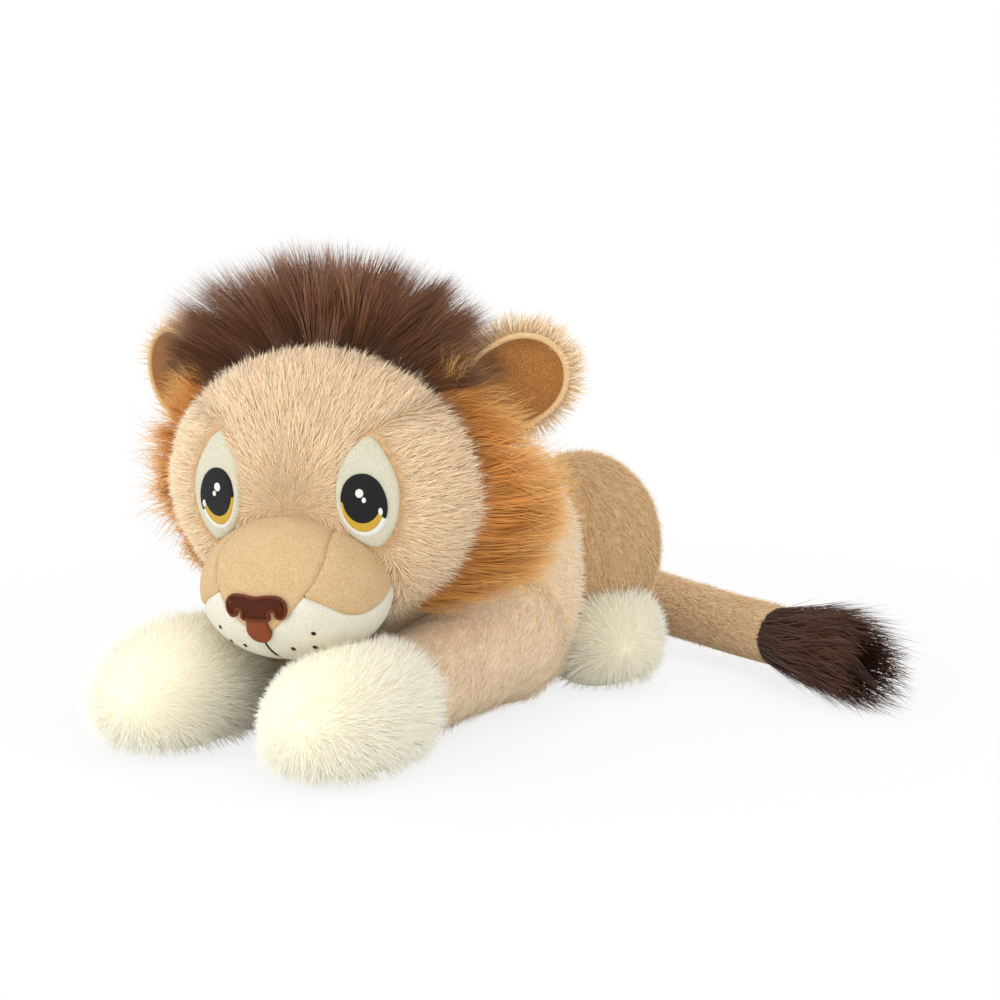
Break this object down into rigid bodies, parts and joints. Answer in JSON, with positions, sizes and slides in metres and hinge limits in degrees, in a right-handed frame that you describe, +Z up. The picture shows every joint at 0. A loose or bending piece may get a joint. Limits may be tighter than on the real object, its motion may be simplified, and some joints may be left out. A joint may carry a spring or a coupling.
{
  "type": "plush lion",
  "caption": "Stuffed plush lion lying on its belly, with a big head, an upright brown mane, an orange ruff, round ears, cream paws and a curled tail with a dark tuft.",
  "frame": {"origin": "on the floor, in the middle of the belly; the head's neck ball is 0.120 m ahead of it and 0.100 m up", "axes": "+Z up, -Y the way the trunk and the forelegs point, +X the lion's left"},
  "size_m": [0.5683, 0.5823, 0.3776],
  "materials": {
    "tan_plush": "long-pile plush",
    "pale_plush": "long-pile plush",
    "cream_plush": "long-pile plush",
    "fibre_filling": "loose fibre",
    "brown_pile": "very long pile",
    "orange_pile": "very long pile",
    "orange_velour": "velour",
    "tan_velour": "velour",
    "white_velour": "velour",
    "cream_velour": "velour",
    "black_thread": "satin embroidery",
    "gold_thread": "satin embroidery",
    "white_thread": "satin embroidery",
    "dark_thread": "embroidery",
    "nose_velour": "velour"
  },
  "bodies": {
    "trunk": {"body_cover": "pale_plush", "body_filling": "fibre_filling"},
    "head": {"face_cover": "pale_plush", "head_back_cover": "brown_pile", "head_filling": "fibre_filling", "mane_crest": "brown_pile", "mane_back": "brown_pile", "muzzle_bridge": "tan_velour", "muzzle_filling": "fibre_filling", "nose_top": "nose_velour", "nose_bulb": "nose_velour", "mouth_line": "dark_thread", "ruff_left": "orange_pile", "muzzle_cheek_left": "tan_velour", "muzzle_lip_left": "white_velour", "eye_left_patch": "cream_velour", "eye_left_pupil": "black_thread", "eye_left_iris": "gold_thread", "eye_left_white": "white_thread", "eye_left_glint": "white_thread", "whisker_dot_left_1": "dark_thread", "whisker_dot_left_2": "dark_thread", "whisker_dot_left_3": "dark_thread", "ruff_right": "orange_pile", "muzzle_cheek_right": "tan_velour", "muzzle_lip_right": "white_velour", "eye_right_patch": "cream_velour", "eye_right_pupil": "black_thread", "eye_right_iris": "gold_thread", "eye_right_white": "white_thread", "eye_right_glint": "white_thread", "whisker_dot_right_1": "dark_thread", "whisker_dot_right_2": "dark_thread", "whisker_dot_right_3": "dark_thread"},
    "tail": {"tail_cover": "tan_plush", "tail_filling": "fibre_filling", "tail_tuft": "brown_pile"},
    "ear_left": {"ear_left_back": "pale_plush", "ear_left_lining": "orange_velour"},
    "foreleg_left": {"foreleg_left_cover": "pale_plush", "forepaw_left_cover": "cream_plush", "foreleg_left_filling": "fibre_filling"},
    "hindleg_left": {"hindleg_left_cover": "tan_plush", "hindpaw_left_cover": "cream_plush", "hindleg_left_filling": "fibre_filling"},
    "ear_right": {"ear_right_back": "pale_plush", "ear_right_lining": "orange_velour"},
    "foreleg_right": {"foreleg_right_cover": "pale_plush", "forepaw_right_cover": "cream_plush", "foreleg_right_filling": "fibre_filling"},
    "hindleg_right": {"hindleg_right_cover": "tan_plush", "hindpaw_right_cover": "cream_plush", "hindleg_right_filling": "fibre_filling"}
  },
  "joints": [
    {"name": "head_nod", "type": "hinge", "parent": "trunk", "child": "head", "pos_m": [0, -0.12, 0.1], "axis": [-0.9922, -0.1218, -0.0262], "range_deg": [0, 15]},
    {"name": "ear_left_fold", "type": "hinge", "parent": "head", "child": "ear_left", "pos_m": [0.11514, -0.1774, 0.25606], "axis": [-0.4074, -0.2721, 0.8718], "range_deg": [0, 25], "stiffness_Nm_per_rad": 0.15},
    {"name": "ear_right_fold", "type": "hinge", "parent": "head", "child": "ear_right", "pos_m": [-0.10579, -0.20452, 0.25023], "axis": [-0.4152, 0.1711, -0.8935], "range_deg": [0, 25], "stiffness_Nm_per_rad": 0.15},
    {"name": "foreleg_left_swing", "type": "hinge", "parent": "trunk", "child": "foreleg_left", "pos_m": [0.084, -0.09, 0.0595], "axis": [0, 0, 1], "range_deg": [0, 35]},
    {"name": "foreleg_right_swing", "type": "hinge", "parent": "trunk", "child": "foreleg_right", "pos_m": [-0.084, -0.09, 0.0595], "axis": [0, 0, -1], "range_deg": [0, 35]},
    {"name": "hindleg_left_swing", "type": "hinge", "parent": "trunk", "child": "hindleg_left", "pos_m": [0.086, 0.046, 0.11], "axis": [0, 0, 1], "range_deg": [0, 25]},
    {"name": "hindleg_right_swing", "type": "hinge", "parent": "trunk", "child": "hindleg_right", "pos_m": [-0.086, 0.046, 0.11], "axis": [0, 0, -1], "range_deg": [0, 25]},
    {"name": "tail_swing", "type": "hinge", "parent": "trunk", "child": "tail", "pos_m": [0, 0.13, 0.058], "axis": [0, 0, 1], "range_deg": [0, 40]}
  ]
}
